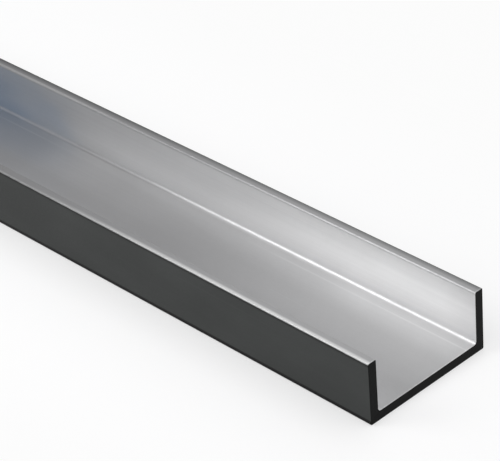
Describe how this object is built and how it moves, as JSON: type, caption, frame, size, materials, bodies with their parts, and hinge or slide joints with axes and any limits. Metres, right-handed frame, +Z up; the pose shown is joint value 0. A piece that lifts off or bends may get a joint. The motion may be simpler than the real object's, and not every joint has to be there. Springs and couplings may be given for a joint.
{
  "type": "sliding door track",
  "caption": "Straight U-section aluminium channel with a flat web and low side flanges, laid as the guide track that sliding door panels run in.",
  "frame": {"origin": "middle of the underside, halfway along the length", "axes": "+X along the length, +Y across the width, +Z up out of the channel's open side"},
  "size_m": [1, 0.045, 0.02],
  "materials": {
    "channel_metal": "bare mill finish with fine die lines inside the channel, dark grey outside, near-black sawn ends"
  },
  "bodies": {
    "root": {"track_channel": "channel_metal"}
  },
  "joints": []
}
